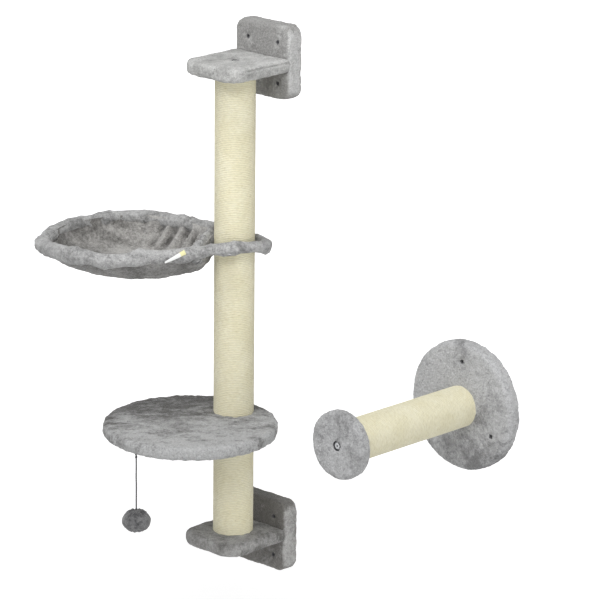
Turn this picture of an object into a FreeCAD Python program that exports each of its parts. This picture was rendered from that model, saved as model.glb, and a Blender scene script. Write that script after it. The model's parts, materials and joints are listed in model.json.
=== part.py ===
import FreeCAD, Part
import math
import os

# Wall mounted cat tree: a sisal column held by two wall brackets, with a swinging hammock, a round
# platform and a toy on a cord, and a separate sisal step that is fixed to the same wall.
# Millimetres. +X runs right along the wall, +Y into the wall, +Z up. The wall is the plane Y = 0,
# and the origin is the centre of the top wall plate's back.

V = FreeCAD.Vector
X = V(1, 0, 0)
Y = V(0, 1, 0)
Z = V(0, 0, 1)
ORIGIN = V(0, 0, 0)

# ---- driving dimensions: fabric and boards
plush = 4.0                    # thickness of the plush over every board
backing = 1.0                  # thin lining on the faces that meet the wall
hem_width = 22.0               # plush turned in over the back of a wall board
plush_edge = 10.0              # rounding of a plush covered edge
fit_gap = 0.1                  # clearance round pieces that are driven or glued in

# ---- wall brackets
plate_width = 163.0
plate_height = 163.0
plate_corner = 28.0
plate_board = 34.0
wall_hole_radius = 3.5
wall_hole_spacing_x = 91.0
wall_hole_spacing_z = 91.0
wall_hole_drop = 1.5           # centre of the hole pattern below the plate's centre
shelf_board = 22.0
shelf_width = 161.0
shelf_reach = 171.0            # from the plate's plush front to the shelf's plush front
shelf_front_corner = 45.0
top_shelf_rise = 12.0          # shelf top above the centre of its own wall plate
bottom_shelf_rise = 22.5
bracket_screw_radius = 2.5
bracket_screw_length = 82.0
bracket_screw_head_radius = 5.0
bracket_screw_head_height = 3.0
bracket_screw_spacing = 48.0
bracket_screws_per_shelf = 3

# ---- column
column_to_wall = 121.5
post_diameter = 90.0
rope_thickness = 4.0
tube_wall = 4.0
long_post = 382.0
short_post = 250.0
plug_length = 20.0
insert_radius = 6.5
insert_length = 16.0
thread_radius = 4.0
thread_gap = 0.05
bolt_hole_gap = 0.4
bolt_head_radius = 6.5
bolt_head_height = 4.5
socket_radius = 2.6
socket_depth = 2.5
cut_past = 1.0                 # how far a cut runs past the face that it opens
washer_radius = 11.0
washer_thickness = 1.6
bolt_recess = 5.0              # how far a washer's seat is sunk into a board
stud_engagement = 15.0         # length of a stud in each insert

# ---- platform
platform_diameter = 384.0
platform_board = 21.0
platform_offset = 119.0        # platform centre in front of the column's axis
platform_turn = 8.0            # degrees from straight out of the wall, towards -X

# ---- step
step_x = 587.0
step_z = -660.5
step_disc_diameter = 280.0
step_disc_board = 24.0
step_hole_circle = 196.0
step_hole_count = 3
step_post = 355.0
step_cap_diameter = 144.0
step_cap_board = 21.0
countersink_radius = 8.0
countersink_depth = 4.0

# ---- hammock, in its own frame: +X out from the column's axis, origin at the wire's height
hammock_turn = 58.0            # degrees from straight out of the wall, towards -X
hammock_sag = 2.0              # degrees that the ring's far end hangs down
ring_radius = 173.0
ring_reach = 258.0             # column axis to the centre of the ring's round end
hoop_radius = 69.0             # wire's bend round the column
wire_radius = 4.0
padding_radius = 13.0
sleeve_radius = 17.0
strip_width = 24.0
strip_thickness = 3.0
strip_overhang = 3.0
strip_hole_gap = 0.08
swivel_clearance = 0.3
swivel_washer = 1.0
neck_band_reach = 50.0         # column axis to the near face of the band across the neck
neck_band_thickness = 5.0
neck_band_height = 26.0
bag_depth = 74.0
bag_fullness = 4.0             # how steeply the bag's walls start: 2 is a round bowl, more is boxier
bag_roundness = 1.2            # how softly the walls turn into the bottom
bag_end_run = 245.0            # how far out from its top the bag's blunt end draws towards the bottom
bag_end_curl = 2.7             # how late it does so
bag_wall = 3.0
bag_inset = 6.0                # bag's top edge inside the wire's line
bag_corner = 18.0              # rounding of the bag's two corners next to the column
label_length = 50.0
label_width = 11.0
label_thickness = 0.8
label_slope = 24.0
label_reach = 108.0
label_gap = 0.3

# ---- toy
toy_inset = 20.0               # hanging point inside the platform's edge
toy_bearing = 2.2              # degrees from straight out of the wall, towards +X, about the platform
staple_wire = 0.9
staple_radius = 3.0
staple_leg = 12.0
loop_radius = 2.2
loop_wire = 1.0
knot_radius = 2.6
knot_gap = 0.3
cord_radius = 1.5
cord_length = 114.0
ball_width = 63.0
ball_height = 50.0
ball_flat = 1.0                # half the height of the ball's straight waist
ball_skin = 3.0
gather_radius = 6.0
gather_height = 5.0

# ---- sizes worked out from them
plate_depth = backing + plate_board + plush
shelf_depth = shelf_board + 2 * plush
platform_depth = platform_board + 2 * plush
step_disc_depth = backing + step_disc_board + plush
step_cap_depth = step_cap_board + 2 * plush
post_radius = post_diameter / 2
tube_radius = post_radius - rope_thickness
tube_bore = tube_radius - tube_wall
swivel_gap = strip_thickness + 2 * (swivel_washer + swivel_clearance)
column = V(0, -column_to_wall, 0)

top_shelf_z = top_shelf_rise - shelf_depth
upper_post_z = top_shelf_z - long_post
middle_post_z = upper_post_z - swivel_gap - long_post
platform_z = middle_post_z - platform_depth
lower_post_z = platform_z - short_post
bottom_shelf_z = lower_post_z - shelf_depth
bottom_plate_z = lower_post_z - bottom_shelf_rise
strip_z = upper_post_z - swivel_gap / 2
wire_z = strip_z + strip_thickness / 2 + wire_radius

os.makedirs("parts", exist_ok=True)


def save(name, shapes):
    """Writes one node; several shapes stay separate solids in it."""
    solids = []
    for shape in shapes if isinstance(shapes, list) else [shapes]:
        solids += shape.Solids
    for solid in solids:
        if not solid.isValid() or solid.Volume <= 0:
            raise ValueError("bad solid in " + name)
    whole = solids[0] if len(solids) == 1 else Part.makeCompound(solids)
    whole.exportStep("parts/" + name + ".step")
    print(f"{name:26s} {len(solids):3d} solid(s) {whole.Volume / 1000:10.1f} cm3")


def rounded_polygon(corners, radii, place):
    """A closed face through 2D corners, each rounded by its radius or left sharp at 0; place maps
    2D to 3D."""
    count = len(corners)
    starts = []
    ends = []
    mids = []
    for i in range(count):
        here = V(*corners[i], 0)
        back = (V(*corners[i - 1], 0) - here).normalize()
        ahead = (V(*corners[(i + 1) % count], 0) - here).normalize()
        half = back.getAngle(ahead) / 2
        run = radii[i] / math.tan(half)
        inward = (back + ahead).normalize()
        starts.append(here + back * run)
        ends.append(here + ahead * run)
        mids.append(here + inward * (radii[i] / math.sin(half) - radii[i]))
    edges = []
    for i in range(count):
        after = (i + 1) % count
        if radii[i] > 0:
            edges.append(Part.Arc(place(starts[i]), place(mids[i]), place(ends[i])).toShape())
        if (starts[after] - ends[i]).Length > 1e-6:
            edges.append(Part.LineSegment(place(ends[i]), place(starts[after])).toShape())
    return Part.Face(Part.Wire(Part.__sortEdges__(edges)))


def slab_on_wall(width, height, corner, centre_z, back_y, depth):
    """An upright slab with rounded corners, from back_y out into the room."""
    w = width / 2
    h = height / 2
    corners = [(-w, -h), (w, -h), (w, h), (-w, h)]
    face = rounded_polygon(corners, [corner] * 4, lambda p: V(p.x, back_y, centre_z + p.y))
    return face.extrude(-Y * depth)


def shelf_slab(width, back_y, front_y, front_corner, low_z, depth):
    """A level shelf with two strongly rounded front corners and a square back edge."""
    w = width / 2
    corners = [(-w, front_y), (w, front_y), (w, back_y), (-w, back_y)]
    radii = [front_corner, front_corner, 0, 0]
    face = rounded_polygon(corners, radii, lambda p: V(p.x, p.y, low_z))
    return face.extrude(Z * depth)


def soften(solid, radius, faces_at):
    """Rounds the edges of the outer faces that faces_at picks by their centre."""
    edges = []
    for face in solid.Faces:
        if faces_at(face):
            edges += face.Edges
    return solid.makeFillet(radius, edges)


def rod(radius, length, start, direction):
    return Part.makeCylinder(radius, length, start, direction)


def tube(outer, inner, length, start, direction):
    return rod(outer, length, start, direction).cut(rod(inner, length, start, direction))


def holes(points, radius, reach, direction):
    """Straight drills through a board, long enough to pass right through it."""
    return [rod(radius, 2 * reach, p - direction * reach, direction) for p in points]


def drill(solid, cutters):
    for cutter in cutters:
        solid = solid.cut(cutter)
    return solid


def wall_hole_points(centre_z):
    """Centres of the four wall fixing holes of one plate."""
    x = wall_hole_spacing_x / 2
    z = wall_hole_spacing_z / 2
    middle = centre_z - wall_hole_drop
    return [V(i * x, 0, middle + k * z) for i in (-1, 1) for k in (-1, 1)]


def bracket_screw_points(shelf_z):
    """Where the screws enter the back of the plate board, level with the shelf board's middle."""
    count = bracket_screws_per_shelf
    first = -bracket_screw_spacing * (count - 1) / 2
    height = shelf_z + shelf_depth / 2
    return [V(first + i * bracket_screw_spacing, -backing, height) for i in range(count)]


def countersunk_screw(point, radius, length, head_radius, head_height, direction, gap):
    """A flat headed screw; gap grows it into the hole that it sits in."""
    head = Part.makeCone(head_radius + gap, radius + gap, head_height, point, direction)
    return head.fuse(rod(radius + gap, length, point, direction)).removeSplitter()


def bracket_screw(point, gap=0.0):
    return countersunk_screw(point, bracket_screw_radius, bracket_screw_length + gap,
                             bracket_screw_head_radius, bracket_screw_head_height, -Y, gap)


def wall_bracket(prefix, plate_z, shelf_z):
    """One wall plate and its shelf: boards, plush covers and the lining behind the plate."""
    openings = holes(wall_hole_points(plate_z), wall_hole_radius, plate_depth * 2, Y)
    screws = [bracket_screw(p, fit_gap) for p in bracket_screw_points(shelf_z)]

    board = slab_on_wall(plate_width - 2 * plush, plate_height - 2 * plush, plate_corner - plush,
                         plate_z, -backing, plate_board)
    window = slab_on_wall(plate_width - 2 * hem_width, plate_height - 2 * hem_width,
                          plate_corner - plush, plate_z, 0, backing)
    skin = slab_on_wall(plate_width, plate_height, plate_corner, plate_z, 0, plate_depth)
    skin = soften(skin, plush_edge, lambda f: f.CenterOfMass.y < 1e-3 - plate_depth)
    skin = skin.cut(board).cut(window)
    save(prefix + "_wall_board", drill(board, openings + screws))
    save(prefix + "_wall_cover", drill(skin, openings + screws))
    save(prefix + "_wall_backing", drill(window, openings))

    back_y = -plate_depth
    front_y = back_y - shelf_reach
    core = shelf_slab(shelf_width - 2 * plush, back_y - backing, front_y + plush,
                      shelf_front_corner - plush, shelf_z + plush, shelf_board)
    wrap = shelf_slab(shelf_width, back_y, front_y, shelf_front_corner, shelf_z, shelf_depth)
    wrap = soften_shelf(wrap, back_y)
    return core, wrap.cut(core), screws


def soften_shelf(wrap, back_y):
    """Rounds a shelf's long edges, but not the one that butts against the wall plate."""
    picked = []
    for face in wrap.Faces:
        if abs(abs(face.normalAt(0, 0).z) - 1) < 1e-6:
            for edge in face.Edges:
                if edge.CenterOfMass.y < back_y - 1e-3:
                    picked.append(edge)
    return wrap.makeFillet(plush_edge, picked)


def bolt_through(seat, direction, grip):
    """A cap head bolt and its washer: seat is the washer's underside, direction the shank's way."""
    head_seat = seat - direction * washer_thickness
    shank = rod(thread_radius, grip + washer_thickness, head_seat, direction)
    head = rod(bolt_head_radius, bolt_head_height, head_seat, -direction)
    socket_start = head_seat - direction * (bolt_head_height - socket_depth)
    corner_count = 6
    points = [hexagon_point(socket_start, direction, i) for i in range(corner_count + 1)]
    socket = Part.Face(Part.makePolygon(points)).extrude(-direction * (socket_depth + cut_past))
    bolt = shank.fuse(head).cut(socket).removeSplitter()
    washer = tube(washer_radius, thread_radius + thread_gap, washer_thickness, seat, -direction)
    return bolt, washer


def hexagon_point(centre, direction, i):
    """Corner i of the driver socket, in the plane across direction."""
    across = X
    up = direction.cross(across)
    angle = math.radians(60 * i)
    return centre + across * (socket_radius * math.cos(angle)) + up * (socket_radius * math.sin(angle))


def bolt_recess_cut(seat, direction):
    """The dimple over a bolt: room for the washer and head down to the washer's seat."""
    return rod(washer_radius + fit_gap, bolt_recess + 2 * plush, seat, -direction)


def post_plug(face_centre, inward):
    """A plug in a post's end, bored for its threaded insert."""
    return tube(tube_bore - fit_gap, insert_radius + fit_gap, plug_length, face_centre, inward)


def post_insert(face_centre, inward):
    return tube(insert_radius, thread_radius + thread_gap, insert_length, face_centre, inward)


def make_post(prefix, start, direction, length):
    """The cardboard tube of a post and the sleeve of sisal turns wound on it."""
    save(prefix + "_post_tube", tube(tube_radius, tube_bore, length, start, direction))
    save(prefix + "_post_sisal", tube(post_radius, tube_radius, length, start, direction))


def make_brackets():
    """Both wall brackets, the screws that join plate to shelf and the bolts into the column."""
    hole = holes([column], thread_radius + bolt_hole_gap, shelf_depth * 2 + abs(bottom_shelf_z), Z)
    bolts = []
    washers = []
    screws = []
    sets = (("top", 0, top_shelf_z, top_shelf_z + shelf_depth, -Z),
            ("bottom", bottom_plate_z, bottom_shelf_z, bottom_shelf_z, Z))
    for prefix, plate_z, shelf_z, outer_face, way in sets:
        core, wrap, screw_holes = wall_bracket(prefix, plate_z, shelf_z)
        seat = column + Z * outer_face + way * (plush + bolt_recess)
        dimple = bolt_recess_cut(seat, way)
        save(prefix + "_shelf_board", drill(core, screw_holes + hole + [dimple]))
        save(prefix + "_shelf_cover", drill(wrap, screw_holes + hole + [dimple]))
        bolt, washer = bolt_through(seat, way, shelf_depth - plush - bolt_recess + stud_engagement)
        bolts.append(bolt)
        washers.append(washer)
        screws += [bracket_screw(p) for p in bracket_screw_points(shelf_z)]
    save("bracket_screws", screws)
    save("column_bolts", bolts)
    save("column_bolt_washers", washers)


def make_column():
    """Three posts, their end plugs and inserts, and the studs between them."""
    ends = []
    for prefix, low_z, length in (("upper", upper_post_z, long_post),
                                  ("middle", middle_post_z, long_post),
                                  ("lower", lower_post_z, short_post)):
        start = column + Z * low_z
        make_post(prefix, start, Z, length)
        ends.append((start, Z))
        ends.append((start + Z * length, -Z))
    save("column_plugs", [post_plug(p, way) for p, way in ends])
    save("column_inserts", [post_insert(p, way) for p, way in ends])
    for name, low, gap in (("hammock_stud", upper_post_z - swivel_gap, swivel_gap),
                           ("platform_stud", platform_z, platform_depth)):
        start = column + Z * (low - stud_engagement)
        save(name, rod(thread_radius, gap + 2 * stud_engagement, start, Z))
    washers = []
    for low in (upper_post_z - swivel_washer, upper_post_z - swivel_gap):
        washers.append(tube(washer_radius, thread_radius + thread_gap, swivel_washer,
                            column + Z * low, Z))
    save("swivel_washers", washers)


def platform_centre():
    angle = math.radians(platform_turn)
    return column + V(-math.sin(angle), -math.cos(angle), 0) * platform_offset


def toy_point():
    """Where the toy hangs, on the platform's underside."""
    angle = math.radians(toy_bearing)
    reach = platform_diameter / 2 - toy_inset
    return platform_centre() + V(math.sin(angle), -math.cos(angle), 0) * reach + Z * platform_z


def staple_legs(gap):
    """The two legs of the toy's staple, from its bow up into the platform board."""
    top = toy_point()
    legs = []
    for side in (-1, 1):
        start = top + X * (side * staple_radius) - Z * staple_radius
        legs.append(rod(staple_wire + gap, staple_radius + staple_leg, start, Z))
    return legs


def make_platform():
    """The round platform, clamped between the middle and lower posts, and the toy's staple."""
    centre = platform_centre() + Z * platform_z
    radius = platform_diameter / 2
    outer = rod(radius, platform_depth, centre, Z)
    outer = outer.makeFillet(plush_edge, outer.Edges[:1] + outer.Edges[2:])
    core = rod(radius - plush, platform_board, centre + Z * plush, Z)
    cuts = holes([column + Z * platform_z], thread_radius + bolt_hole_gap, platform_depth * 2, Z)
    cuts += staple_legs(fit_gap)
    save("platform_board", drill(core, cuts))
    save("platform_cover", drill(outer.cut(core), cuts))

    middle = toy_point() - Z * staple_radius
    bow = Part.Face(Part.Wire(Part.makeCircle(staple_wire, middle + X * staple_radius, Z)))
    bow = bow.revolve(middle, Y, 180)
    legs = staple_legs(0)
    save("toy_staple", bow.fuse(legs).removeSplitter())


def make_step():
    """The step: a wall disc, a level sisal post and a capping disc."""
    axis = V(step_x, 0, step_z)
    radius = step_disc_diameter / 2
    drills = []
    for i in range(step_hole_count):
        angle = math.radians(90 + 360 * i / step_hole_count)
        point = axis + V(math.cos(angle), 0, math.sin(angle)) * (step_hole_circle / 2)
        drills += holes([point], wall_hole_radius, step_disc_depth * 2, Y)
    back = axis - Y * backing
    screw_length = step_disc_board + plush + stud_engagement
    screw_hole = countersunk_screw(back, thread_radius, screw_length, countersink_radius,
                                   countersink_depth, -Y, fit_gap)
    board = rod(radius - plush, step_disc_board, back, -Y)
    window = rod(radius - hem_width, backing, axis, -Y)
    skin = rod(radius, step_disc_depth, axis, -Y)
    skin = soften(skin, plush_edge, lambda f: f.CenterOfMass.y < 1e-3 - step_disc_depth)
    skin = skin.cut(board).cut(window)
    save("step_wall_board", drill(board, drills + [screw_hole]))
    save("step_wall_cover", drill(skin, drills + [screw_hole]))
    save("step_wall_backing", drill(window, drills))
    save("step_wall_bolt", countersunk_screw(back, thread_radius, screw_length, countersink_radius,
                                             countersink_depth, -Y, 0))

    root = axis - Y * step_disc_depth
    tip = root - Y * step_post
    make_post("step", root, -Y, step_post)
    ends = ((root, -Y), (tip, Y))
    save("step_plugs", [post_plug(p, way) for p, way in ends])
    save("step_inserts", [post_insert(p, way) for p, way in ends])

    cap_radius = step_cap_diameter / 2
    seat = tip - Y * (step_cap_depth - plush - bolt_recess)
    cuts = holes([tip], thread_radius + bolt_hole_gap, step_cap_depth * 2, Y)
    cuts.append(bolt_recess_cut(seat, Y))
    core = rod(cap_radius - plush, step_cap_board, tip - Y * plush, -Y)
    outer = rod(cap_radius, step_cap_depth, tip, -Y)
    outer = outer.makeFillet(plush_edge, [e for e in outer.Edges if is_round(e)])
    save("step_cap_board", drill(core, cuts))
    save("step_cap_cover", drill(outer.cut(core), cuts))
    bolt, washer = bolt_through(seat, Y, step_cap_depth - plush - bolt_recess + stud_engagement)
    save("step_cap_bolt", bolt)
    save("step_cap_washer", washer)


def is_round(edge):
    return isinstance(edge.Curve, Part.Circle)


def taper_angle():
    """Half the angle between the two straight stretches of the hammock's wire, in degrees."""
    return math.degrees(math.asin((ring_radius - hoop_radius) / ring_reach))


def bent_round(radius, section, centre, start, sweep):
    """A round bar bent about a vertical axis: from angle start, through sweep degrees."""
    face = Part.Face(Part.Wire(Part.makeCircle(section, V(radius, 0, 0), Y)))
    bar = face.revolve(ORIGIN, Z, sweep)
    bar.rotate(ORIGIN, Z, start)
    bar.translate(centre)
    return bar


def wire_line(section):
    """A bar of the given section radius along the whole line of the hammock's wire."""
    lean = taper_angle()
    hoop = bent_round(hoop_radius, section, ORIGIN, 90 + lean, 180 - 2 * lean)
    ring = bent_round(ring_radius, section, X * ring_reach, -90 - lean, 180 + 2 * lean)
    pieces = [ring]
    sine = math.sin(math.radians(lean))
    cosine = math.cos(math.radians(lean))
    for side in (-1, 1):
        near = V(-hoop_radius * sine, side * hoop_radius * cosine, 0)
        far = V(ring_reach - ring_radius * sine, side * ring_radius * cosine, 0)
        pieces.append(rod(section, (far - near).Length, near, (far - near).normalize()))
    return hoop.fuse(pieces).removeSplitter()


def strand_offset(reach):
    """Sideways place of the wire's straight stretches at a distance out from the column."""
    lean = math.radians(taper_angle())
    return hoop_radius / math.cos(lean) + reach * math.tan(lean)


def bag_outline(scale, end, height):
    """The bag's outline at one height: round far end, straight sides, blunt end at the column.
    It is the top outline made smaller by scale, with its blunt end at that distance."""
    near = neck_band_reach + neck_band_thickness
    radius = (ring_radius - bag_inset) * scale
    middle = end + (ring_reach - bag_inset - near) * scale
    half = (strand_offset(near) - bag_inset) * scale
    reach = middle - end
    distance = math.hypot(reach, half)
    touch = math.atan2(half, -reach) - math.acos(radius / distance)
    touch_point = V(middle + radius * math.cos(touch), radius * math.sin(touch), height)
    corner = V(end, half, height)
    fillet = bag_corner * scale
    side = (touch_point - corner).normalize()
    inner_half = side.getAngle(V(0, -1, 0)) / 2
    run = fillet / math.tan(inner_half)
    start = corner + side * run
    stop = corner + V(0, -run, 0)
    inward = (side + V(0, -1, 0)).normalize()
    mid = corner + inward * (fillet / math.sin(inner_half) - fillet)
    points = [V(stop.x, -stop.y, height), stop]
    flip = lambda p: V(p.x, -p.y, p.z)
    edges = [Part.LineSegment(points[0], points[1]).toShape(),
             Part.Arc(stop, mid, start).toShape(),
             Part.LineSegment(start, touch_point).toShape(),
             Part.Arc(touch_point, V(middle + radius, 0, height), flip(touch_point)).toShape(),
             Part.LineSegment(flip(touch_point), flip(start)).toShape(),
             Part.Arc(flip(start), flip(mid), flip(stop)).toShape()]
    return Part.Wire(edges)


def bag_levels():
    """Depth below the wire, share of the top outline and place of the blunt end, level by level:
    steep walls that turn into a wide, nearly flat bottom, drawn out from the column."""
    near = neck_band_reach + neck_band_thickness
    levels = []
    for share in (1.0, 0.93, 0.86, 0.75, 0.6, 0.4, 0.2):
        fall = (1 - share ** bag_fullness) ** bag_roundness
        end = near + bag_end_run * (1 - share) ** bag_end_curl
        levels.append((bag_inset + (bag_depth - bag_inset) * fall, share, end))
    return levels


def bag_shell():
    """The hammock's bag: a shallow bowl of fabric, open at the top."""
    levels = bag_levels()
    shrink = bag_wall / ring_radius
    outer = Part.makeLoft([bag_outline(k, end, -depth) for depth, k, end in levels], True)
    inner = []
    for i, (depth, k, end) in enumerate(levels):
        rise = bag_wall * i / (len(levels) - 1)
        inner.append(bag_outline(k - 1.5 * shrink, end + bag_wall * k, -depth + rise))
    return outer.cut(Part.makeLoft(inner, True))


def hammock_parts():
    """The hammock's pieces in its own frame, before it is turned and set on the column."""
    strip_half = strand_offset(0) + wire_radius + strip_overhang
    strip = Part.makeBox(strip_width, 2 * strip_half, strip_thickness,
                         V(-strip_width / 2, -strip_half, -wire_radius - strip_thickness))
    pivot = rod(thread_radius + strip_hole_gap, 4 * strip_thickness,
                V(0, 0, -wire_radius - 2 * strip_thickness), Z)
    wire = wire_line(wire_radius)
    padding = wire_line(padding_radius)
    sleeve = wire_line(sleeve_radius)
    band_half = strand_offset(neck_band_reach)
    band = Part.makeBox(neck_band_thickness, 2 * band_half, neck_band_height,
                        V(neck_band_reach, -band_half, -neck_band_height / 2))
    bag = bag_shell().cut(sleeve).cut(band)
    bag = max(bag.Solids, key=lambda s: s.Volume)
    tilted = {
        "hammock_frame": wire,
        "hammock_rim_padding": padding.cut(wire),
        "hammock_rim_cover": sleeve.cut(padding),
        "hammock_neck_band": band.cut(sleeve),
        "hammock_bag": bag,
        "hammock_label": label_piece(),
    }
    for shape in tilted.values():
        shape.rotate(ORIGIN, Y, hammock_sag)
    tilted["hammock_rim_padding"] = tilted["hammock_rim_padding"].cut(strip)
    tilted["hammock_rim_cover"] = tilted["hammock_rim_cover"].cut(strip)
    tilted["hammock_strip"] = strip.cut(wire).cut(pivot)
    return tilted


def label_piece():
    """The blank sewn-in tab that lies on the rim's near side."""
    lean = taper_angle()
    tab = Part.makeBox(label_length, label_thickness, label_width,
                       V(-label_length / 2, 0, -label_width / 2))
    tab.rotate(ORIGIN, Y, label_slope)
    tab.rotate(ORIGIN, Z, lean)
    outward = V(-math.sin(math.radians(lean)), math.cos(math.radians(lean)), 0)
    centre = V(label_reach, strand_offset(label_reach), 0)
    tab.translate(centre + outward * (sleeve_radius + label_gap))
    return tab


def make_hammock():
    for name, shape in hammock_parts().items():
        shape.rotate(ORIGIN, Z, -90 - hammock_turn)
        shape.translate(column + Z * wire_z)
        save(name, shape)


def make_toy():
    """The cord's loop on the staple, the knot, the hanging cord and the plush ball."""
    pivot = toy_point() - Z * (2 * staple_radius)
    loop = Part.makeTorus(loop_radius, loop_wire, pivot, X)
    save("toy_loop", loop)
    knot_drop = loop_radius + loop_wire + knot_gap + knot_radius
    knot = Part.makeSphere(knot_radius, pivot - Z * knot_drop)
    cord_top = pivot - Z * (knot_drop + knot_radius)
    knot = knot.fuse(rod(cord_radius, knot_radius, cord_top, Z)).removeSplitter()
    save("toy_knot", knot)
    cord_end = cord_top - Z * cord_length
    save("toy_cord", rod(cord_radius, cord_length, cord_end, Z))
    centre = cord_end - Z * (gather_height + ball_height / 2)
    half_height = ball_height / 2
    rounding = half_height - ball_flat
    outer = squashed_ball(centre, ball_width / 2, half_height, rounding)
    inner = squashed_ball(centre, ball_width / 2 - ball_skin, half_height - ball_skin,
                          rounding - ball_skin)
    gather = rod(gather_radius, gather_height, cord_end - Z * gather_height, Z)
    save("toy_ball_cover", outer.fuse(gather).cut(inner))
    save("toy_ball_filling", inner)


def squashed_ball(centre, radius, half_height, rounding):
    """A ball that is a little wider than it is tall, with its gathers at the top and bottom."""
    ball = rod(radius, 2 * half_height, centre - Z * half_height, Z)
    return ball.makeFillet(rounding, [e for e in ball.Edges if is_round(e)])


make_brackets()
make_column()
make_platform()
make_step()
make_hammock()
make_toy()
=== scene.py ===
import json
import math

import bmesh
import bpy
from mathutils import Matrix, Vector


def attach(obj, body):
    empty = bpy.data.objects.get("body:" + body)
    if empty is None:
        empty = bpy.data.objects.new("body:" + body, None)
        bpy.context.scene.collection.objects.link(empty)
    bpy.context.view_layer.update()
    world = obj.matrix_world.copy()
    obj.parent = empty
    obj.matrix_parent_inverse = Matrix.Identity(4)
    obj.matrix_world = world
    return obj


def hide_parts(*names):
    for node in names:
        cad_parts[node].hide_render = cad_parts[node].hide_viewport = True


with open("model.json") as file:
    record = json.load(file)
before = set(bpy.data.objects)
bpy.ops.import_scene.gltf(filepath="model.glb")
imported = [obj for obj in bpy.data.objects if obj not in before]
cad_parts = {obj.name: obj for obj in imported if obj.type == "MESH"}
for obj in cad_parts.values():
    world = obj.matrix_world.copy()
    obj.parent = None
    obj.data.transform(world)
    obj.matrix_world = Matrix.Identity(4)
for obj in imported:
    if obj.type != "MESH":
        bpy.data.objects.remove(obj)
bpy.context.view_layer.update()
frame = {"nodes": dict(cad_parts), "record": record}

# Wall mounted cat tree in grey plush and sisal. Metres; +X along the wall, +Y into it, +Z up.

# ---- the places that the pieces keep to
COLUMN = Vector((0, -0.1215, 0))
POST = 0.045
TOP_SHELF, BOTTOM_SHELF = -0.018, -1.0966          # undersides
PLATE_TOP, PLATE_BOTTOM = 0.0, -1.0891             # centres of the two wall plates
PLATFORM = Vector((-0.01656, -0.23934, -0.8166))   # centre of its underside
STEP = Vector((0.587, 0, -0.6605))
WIRE = -0.3973                                     # height of the hammock's wire at the column
RING, RING_REACH, HOOP = 0.173, 0.258, 0.069
LEAN = math.asin((RING - HOOP) / RING_REACH)
NECK = 0.050                                       # column axis to the panel that closes the bag
JOINTS = {joint["name"]: joint for joint in frame["record"]["behaviour"]["joints"]}
TOY = Vector(JOINTS["toy_swing_side"]["pos_m"])    # where the toy's cord hangs from its staple
CORD_TOP, CORD_LENGTH = TOY.z - 0.0087, 0.114
CORD_THICK, BALL = 0.003, 0.0315                   # the cord's diameter, the ball's radius


# ---- working helpers

def clear():
    """Deselects everything, so that a new primitive is selected alone."""
    bpy.ops.object.select_all(action="DESELECT")


def take(piece):
    """Leaves one piece selected and active."""
    clear()
    piece.select_set(True)
    bpy.context.view_layer.objects.active = piece


def placed(name, data):
    """A new object of that data, in the scene."""
    made = bpy.data.objects.new(name, data)
    bpy.context.scene.collection.objects.link(made)
    return made


def settle(piece):
    """Puts a piece's place, turn and size into its mesh."""
    take(piece)
    bpy.ops.object.transform_apply(location=True, rotation=True, scale=True)


def named(name):
    """Names the newest piece and its mesh."""
    piece = bpy.context.object
    piece.name = name
    piece.data.name = name
    return piece


def finish_with(piece, kind, **settings):
    """Adds one modifier, sets it and applies it."""
    take(piece)
    modifier = piece.modifiers.new(kind, kind)
    for key, value in settings.items():
        setattr(modifier, key, value)
    bpy.ops.object.modifier_apply(modifier=modifier.name)


def edit(piece, action="SELECT", what=None):
    """Opens a piece's mesh with all of it selected, or with "DESELECT" none."""
    take(piece)
    bpy.ops.object.mode_set(mode="EDIT")
    if what:
        bpy.ops.mesh.select_mode(type=what)
    bpy.ops.mesh.select_all(action=action)


def pick(piece, what, test):
    """In edit mode, selects the vertices, or the edges of which both ends, pass the test."""
    edit(piece, "DESELECT", what)
    mesh = bmesh.from_edit_mesh(piece.data)
    good = [test(v.co) for v in mesh.verts]
    for item in mesh.verts if what == "VERT" else mesh.edges:
        ends = [item] if what == "VERT" else item.verts
        if all(good[v.index] for v in ends):
            item.select_set(True)
    mesh.select_flush_mode()
    bmesh.update_edit_mesh(piece.data)


def pick_runs(piece, axis, least, test=lambda p: True):
    """In edit mode, selects the edges that run further than that along one axis, 0 to 2."""
    edit(piece, "DESELECT", "EDGE")
    mesh = bmesh.from_edit_mesh(piece.data)
    for edge in mesh.edges:
        first, second = (v.co for v in edge.verts)
        if abs(first[axis] - second[axis]) > least and test(first):
            edge.select_set(True)
    bmesh.update_edit_mesh(piece.data)


def done():
    bpy.ops.object.mode_set(mode="OBJECT")


def round_off(piece, test, offset, segments):
    """Rounds the edges of which both ends pass the test."""
    pick(piece, "EDGE", test)
    bpy.ops.mesh.bevel(offset=offset, segments=segments, affect="EDGES")
    done()


def smooth(piece, angle=None):
    """Shades a piece smooth, up to an angle in degrees where one is given."""
    take(piece)
    if angle is None:
        bpy.ops.object.shade_smooth()
    else:
        bpy.ops.object.shade_smooth_by_angle(angle=math.radians(angle))


def outward(piece):
    """Points every face outwards."""
    edit(piece)
    bpy.ops.mesh.normals_make_consistent(inside=False)
    done()


def lumps(piece, size, height, depth=2, direction="NORMAL", group="", stretch=None,
          turn=(0, 0, 0), middle=0.5, creased=False):
    """Displaces a piece by noise of that grain, soft or creased; stretch and turn make it run one way."""
    grain = bpy.data.textures.new("grain", "CLOUDS")
    grain.noise_type = "HARD_NOISE" if creased else "SOFT_NOISE"
    grain.noise_scale = size
    grain.noise_depth = depth
    settings = dict(texture=grain, strength=height, mid_level=middle, direction=direction,
                    vertex_group=group)
    guide = None
    if stretch:
        guide = placed("guide", None)
        guide.scale = stretch
        guide.rotation_euler = turn
        bpy.context.view_layer.update()
        settings.update(texture_coords="OBJECT", texture_coords_object=guide)
    else:
        settings["texture_coords"] = "LOCAL"
    finish_with(piece, "DISPLACE", **settings)
    if guide:
        bpy.data.objects.remove(guide)
    bpy.data.textures.remove(grain)


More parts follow.
